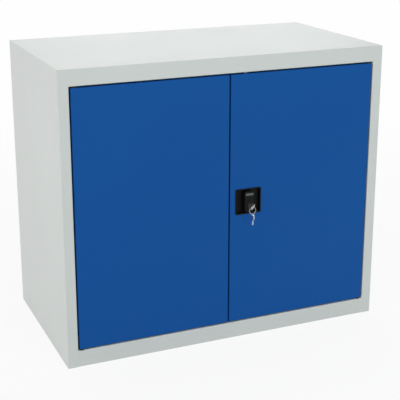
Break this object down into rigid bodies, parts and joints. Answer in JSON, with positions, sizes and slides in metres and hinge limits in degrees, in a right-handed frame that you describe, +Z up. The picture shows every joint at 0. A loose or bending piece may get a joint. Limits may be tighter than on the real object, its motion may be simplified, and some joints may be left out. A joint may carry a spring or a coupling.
{
  "type": "two-door tool cabinet",
  "caption": "Low steel tool cabinet with two hinged doors, adjustable shelves, a recessed turning handle that drives locking rods, and a key with a ring and a spare key.",
  "frame": {"origin": "the middle of the cabinet's base, on the floor", "axes": "+X to the right as seen from the front, the doors face -Y, +Z up"},
  "size_m": [0.93, 0.5385, 0.8],
  "materials": {
    "carcass_grey": "light grey powder coat, satin",
    "inner_grey": "light grey powder coat, satin",
    "door_blue": "gentian blue powder coat, satin",
    "zinc_steel": "zinc-plated steel",
    "lock_black": "black moulded plastic, matt",
    "label_grey": "bare grey insert",
    "key_steel": "nickel-plated",
    "guide_nylon": "black nylon",
    "buffer_rubber": "black rubber"
  },
  "bodies": {
    "carcass": {"side_panel_left": "carcass_grey", "side_panel_right": "carcass_grey", "top_panel": "carcass_grey", "stop_strip": "carcass_grey", "base_panel": "carcass_grey", "back_panel": "carcass_grey", "shelf_upright_front_left": "inner_grey", "shelf_upright_rear_left": "inner_grey", "shelf_upright_front_right": "inner_grey", "shelf_upright_rear_right": "inner_grey", "shelf_lower": "inner_grey", "shelf_upper": "inner_grey", "shelf_clips_lower": "zinc_steel", "shelf_clips_upper": "zinc_steel", "door_buffers": "buffer_rubber", "hinge_pin_lower_left": "zinc_steel", "hinge_pin_upper_left": "zinc_steel", "hinge_pin_lower_right": "zinc_steel", "hinge_pin_upper_right": "zinc_steel"},
    "door_left": {"door_panel_left": "door_blue", "door_stiffener_left": "door_blue", "hinge_bush_lower_left": "guide_nylon", "hinge_bush_upper_left": "guide_nylon"},
    "door_right": {"door_panel_right": "door_blue", "door_stiffener_right": "door_blue", "hinge_bush_lower_right": "guide_nylon", "hinge_bush_upper_right": "guide_nylon", "lock_dish": "lock_black", "gear_case": "zinc_steel", "gear_cover": "zinc_steel", "cover_screws": "zinc_steel", "rod_guide_upper": "guide_nylon", "rod_guide_lower": "guide_nylon"},
    "rod_upper": {"locking_rod_upper": "zinc_steel"},
    "rod_lower": {"locking_rod_lower": "zinc_steel"},
    "handle": {"turn_handle": "lock_black", "blank_label": "label_grey", "pinion_spindle": "zinc_steel", "latch_tongue": "zinc_steel", "spindle_nut": "zinc_steel", "cylinder_sleeve": "key_steel"},
    "key_plug": {"lock_plug": "key_steel", "lock_cam": "key_steel", "inserted_key": "key_steel"},
    "key_ring": {"key_ring": "key_steel"},
    "spare_key": {"spare_key": "key_steel"}
  },
  "joints": [
    {"name": "door_left_swing", "type": "hinge", "parent": "carcass", "child": "door_left", "pos_m": [-0.424, -0.243, 0.4], "axis": [0, 0, -1], "range_deg": [0, 110]},
    {"name": "door_right_swing", "type": "hinge", "parent": "carcass", "child": "door_right", "pos_m": [0.424, -0.243, 0.4], "axis": [0, 0, 1], "range_deg": [0, 110]},
    {"name": "handle_turn", "type": "hinge", "parent": "door_right", "child": "handle", "pos_m": [0.0556, -0.25, 0.4], "axis": [0, 1, 0], "range_deg": [0, 90]},
    {"name": "rod_upper_slide", "type": "slide", "parent": "door_right", "child": "rod_upper", "axis": [0, 0, 1], "range_m": [0, 0.0189]},
    {"name": "rod_lower_slide", "type": "slide", "parent": "door_right", "child": "rod_lower", "axis": [0, 0, -1], "range_m": [0, 0.0189]},
    {"name": "key_turn", "type": "hinge", "parent": "handle", "child": "key_plug", "pos_m": [0.0556, -0.26, 0.391], "axis": [0, 1, 0], "range_deg": [-36, 54]},
    {"name": "ring_swing", "type": "hinge", "parent": "key_plug", "child": "key_ring", "pos_m": [0.0556, -0.2795, 0.3904], "axis": [1, 0, 0], "range_deg": [-60, 15]},
    {"name": "spare_key_swing", "type": "hinge", "parent": "key_ring", "child": "spare_key", "pos_m": [0.0556, -0.2795, 0.3714], "axis": [1, 0, 0], "range_deg": [-30, 15]}
  ],
  "couplings": [
    {"joint": "rod_upper_slide", "follows": "handle_turn", "m_per_rad": 0.012},
    {"joint": "rod_lower_slide", "follows": "handle_turn", "m_per_rad": 0.012}
  ]
}
